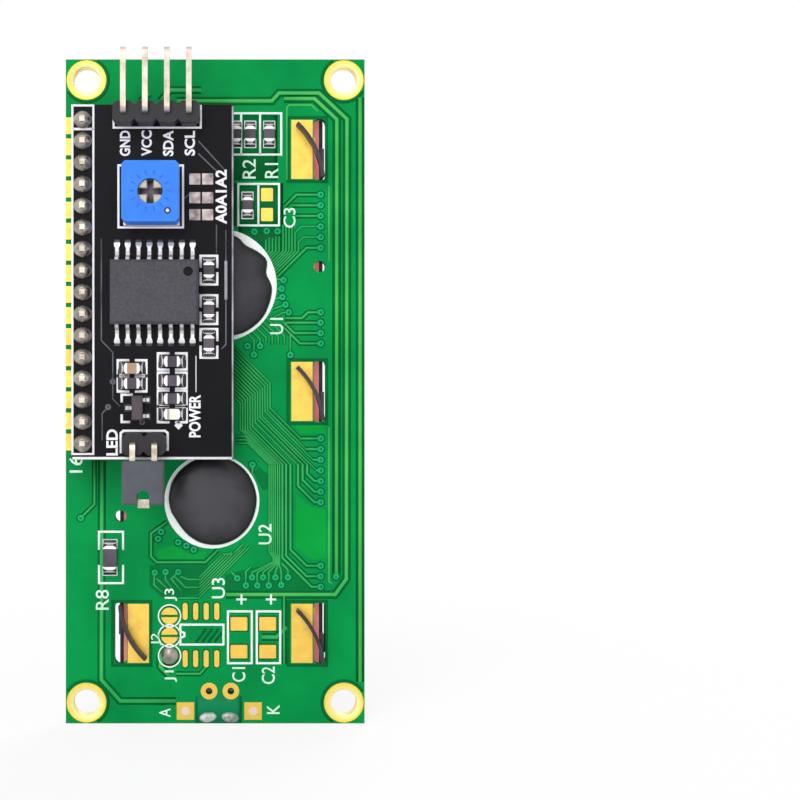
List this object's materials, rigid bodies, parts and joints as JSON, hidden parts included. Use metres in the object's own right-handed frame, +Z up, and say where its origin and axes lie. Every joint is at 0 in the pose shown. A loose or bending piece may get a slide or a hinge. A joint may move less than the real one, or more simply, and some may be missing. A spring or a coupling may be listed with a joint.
{
  "type": "character display module",
  "caption": "Character display module: green board with a steel-framed blue display on one face and a two-wire adapter board with trimmer and jumper on the other.",
  "frame": {"origin": "centre of the four corner holes, on the display board's rear face", "axes": "+Z up the long side towards the four-pin header, +Y out of the display's window, +X to the right when the rear face is looked at"},
  "size_m": [0.036, 0.0176, 0.08],
  "materials": {
    "solder_mask_green": "green solder mask over copper, glossy",
    "solder_mask_black": "black solder mask, satin",
    "gold_plate": "gold-plated copper",
    "tinned": "tinned copper and solder, slightly uneven",
    "pin_metal": "tinned square pins",
    "black_steel": "black oxide steel, satin",
    "cell_glass": "clear glass plate",
    "blue_film": "deep blue polarizing film, glossy",
    "pink_rubber": "silicone strip, matte",
    "white_plastic": "white moulded plastic",
    "clear_plastic": "clear acrylic",
    "white_film": "white film",
    "black_resin": "cured black resin, soft gloss",
    "black_moulding": "black moulded plastic",
    "grey_moulding": "dark grey moulded plastic",
    "chip_ceramic": "dark printed ceramic",
    "tan_ceramic": "tan ceramic",
    "blue_plastic": "blue moulded plastic",
    "lamp_plastic": "pale lamp package"
  },
  "bodies": {
    "module": {"lcd_board": "solder_mask_green", "corner_hole_plating": "gold_plate", "rear_edge_pads": "gold_plate", "front_edge_pads": "tinned", "tab_pads": "gold_plate", "spare_part_pads": "gold_plate", "link_pads": "gold_plate", "link_solder": "tinned", "supply_pads": "gold_plate", "supply_solder": "tinned", "display_frame": "black_steel", "front_polarizer": "blue_film", "front_glass": "cell_glass", "rear_glass": "cell_glass", "rear_polarizer": "blue_film", "contact_strip_left": "pink_rubber", "contact_strip_right": "pink_rubber", "contact_fingers": "gold_plate", "backlight_tray": "white_plastic", "reflector_film": "white_film", "light_guide": "clear_plastic", "diffuser_film": "white_film", "backlight_lamp": "lamp_plastic", "lamp_leads": "pin_metal", "lamp_solder": "tinned", "driver_resin_upper": "black_resin", "driver_resin_lower": "black_resin", "board_resistor_bodies": "chip_ceramic", "board_resistor_ends": "tinned", "lamp_resistor_body": "chip_ceramic", "lamp_resistor_ends": "tinned", "board_part_pads": "tinned", "row_pins": "pin_metal", "row_spacer": "black_moulding", "row_solder_front": "tinned", "row_solder_rear": "tinned", "bus_header_pins": "pin_metal", "bus_header_housing": "black_moulding", "lamp_header_pins": "pin_metal", "lamp_header_housing": "black_moulding", "trimmer_housing": "blue_plastic", "trimmer_leads": "pin_metal", "trimmer_base": "white_plastic", "expander_chip": "black_moulding", "expander_legs": "tinned", "adapter_resistor_bodies": "chip_ceramic", "adapter_resistor_ends": "tinned", "capacitor_body": "tan_ceramic", "capacitor_ends": "tinned", "power_lamp_body": "lamp_plastic", "power_lamp_ends": "tinned", "transistor_body": "black_moulding", "transistor_legs": "tinned", "adapter_pads": "tinned", "address_pads": "tinned", "adapter_board": "solder_mask_black", "under_solder": "tinned"},
    "jumper_cap": {"jumper_cap_shell": "grey_moulding", "jumper_cap_clip": "pin_metal"},
    "trimmer_rotor": {"trimmer_rotor": "white_plastic"}
  },
  "joints": [
    {"name": "trimmer_turn", "type": "hinge", "parent": "module", "child": "trimmer_rotor", "pos_m": [-0.00747, -0.0085, 0.02298], "axis": [0, -1, 0], "range_deg": [-120, 120]},
    {"name": "jumper_pull", "type": "slide", "parent": "module", "child": "jumper_cap", "axis": [0, 0, -1], "range_m": [0, 0.006]}
  ]
}
